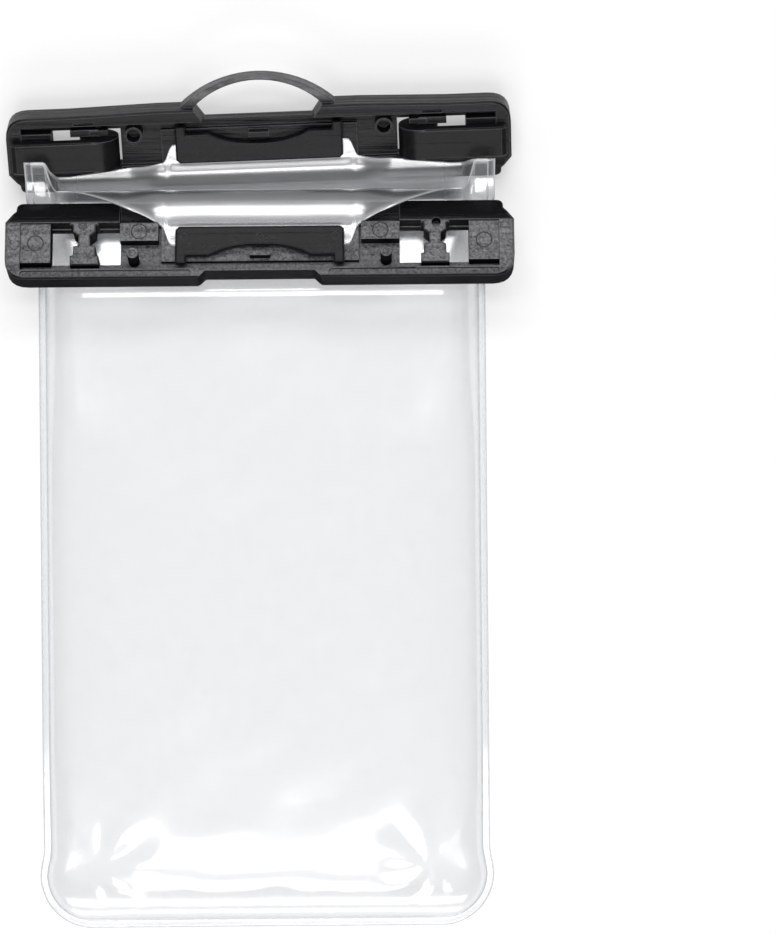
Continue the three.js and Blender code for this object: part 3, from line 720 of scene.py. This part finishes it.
front_grid = film_grid(
    front_course, FRONT_WALL_END, BAG_TOP, foot_reach=26, roundness=3, softness=1.9, lift=SEAM_LIFT,
    shoulder_cut=5.1, taper=0.57, waves=1.0, on_table=False,
)
back_grid = film_grid(
    back_course, BACK_WALL_END, BAG_BOTTOM, foot_reach=14, roundness=7, softness=1.6, lift=-SEAM_LIFT,
    shoulder_cut=4.6, taper=0.13, waves=0.15, on_table=True,
)
front_film = film_piece("front_film", front_grid)
back_film = film_piece("back_film", back_grid)

# Camera, straight above
PIXELS_HIGH = 934
FOCAL_PIXELS = 3636
SENSOR = 36
CAMERA_PLACE = (0.03078, 0.00799, 0.9)
CAMERA_TURN = -0.5
camera_data = bpy.data.cameras.new("camera")
camera = bpy.data.objects.new("camera", camera_data)
scene.collection.objects.link(camera)
camera_data.sensor_fit = "AUTO"
camera_data.sensor_width = SENSOR
camera_data.lens = FOCAL_PIXELS * SENSOR / PIXELS_HIGH
camera.location = CAMERA_PLACE
camera.rotation_euler = (0, 0, math.radians(CAMERA_TURN))
camera_data.clip_start = 0.05
camera_data.clip_end = 20
scene.camera = camera


# Lights
def strip(name, y, z, tilt, depth, radiance, length=0.9):
    """Long softbox above the middle, its length along X."""
    lamp = bpy.data.lights.new(name, "AREA")
    lamp.shape = "RECTANGLE"
    lamp.size, lamp.size_y = length, depth
    lamp.energy = radiance * math.pi * length * depth
    lamp_object = bpy.data.objects.new(name, lamp)
    lamp_object.location = (0.0, y, z)
    lamp_object.rotation_euler = (math.radians(tilt), 0, 0)
    scene.collection.objects.link(lamp_object)


strip("strip_far", 0.78, 1.2, tilt=-33, depth=0.3, radiance=6.5)
strip("strip_top", 0.34, 1.4, tilt=-14, depth=0.24, radiance=6.5)
strip("strip_near", -0.55, 1.28, tilt=23, depth=0.46, radiance=4.8)
strip("strip_low", -1.1, 0.97, tilt=49, depth=0.34, radiance=4.2)

# White floor that keeps the shadow near the pouch and fades into the background
FLOOR_SIZE = 60
FLOOR_WHITE = (0.83, 0.83, 0.83, 1)
FLOOR_GLOW = 1.28
GLOW_NEAR = 0.25
GLOW_FAR = 0.9
GLOW_LEAST = 0.3
bpy.ops.mesh.primitive_plane_add(size=FLOOR_SIZE, location=(0, 0, 0))
floor = bpy.context.active_object
floor.name = "floor"
ground = Nodes("floor_white")
paper = ground.add("ShaderNodeBsdfDiffuse", {"Color": FLOOR_WHITE}).outputs[0]
glow = ground.add("ShaderNodeEmission", {"Color": WHITE, "Strength": FLOOR_GLOW}).outputs[0]
path = ground.add("ShaderNodeLightPath")
seen = ground.math("MAXIMUM", path.outputs["Is Camera Ray"], path.outputs["Is Transmission Ray"])
away = ground.add("ShaderNodeVectorMath", {0: ground.place()}, operation="LENGTH").outputs["Value"]
glowing = ground.math("MULTIPLY", seen, ground.spread(away, GLOW_NEAR, GLOW_FAR, GLOW_LEAST, 1.0))
floor.data.materials.append(ground.finish(ground.blend(glowing, paper, glow)))

# World: dim for light and reflections, white for the camera
WORLD_LIGHT = 0.3
world = bpy.data.worlds.new("world")
scene.world = world
world.use_nodes = True
sky = world.node_tree
backdrop = sky.nodes["Background"]
backdrop.inputs["Color"].default_value = WHITE
sky_path = sky.nodes.new("ShaderNodeLightPath")
sky_level = sky.nodes.new("ShaderNodeMapRange")
sky_level.inputs["To Min"].default_value = WORLD_LIGHT
sky_level.inputs["To Max"].default_value = 1.0
sky.links.new(sky_path.outputs["Is Camera Ray"], sky_level.inputs["Value"])
sky.links.new(sky_level.outputs[0], backdrop.inputs["Strength"])

scene.view_settings.view_transform = "Standard"
scene.cycles.max_bounces = 6
scene.cycles.glossy_bounces = 2
scene.cycles.diffuse_bounces = 3
scene.cycles.transparent_max_bounces = 24
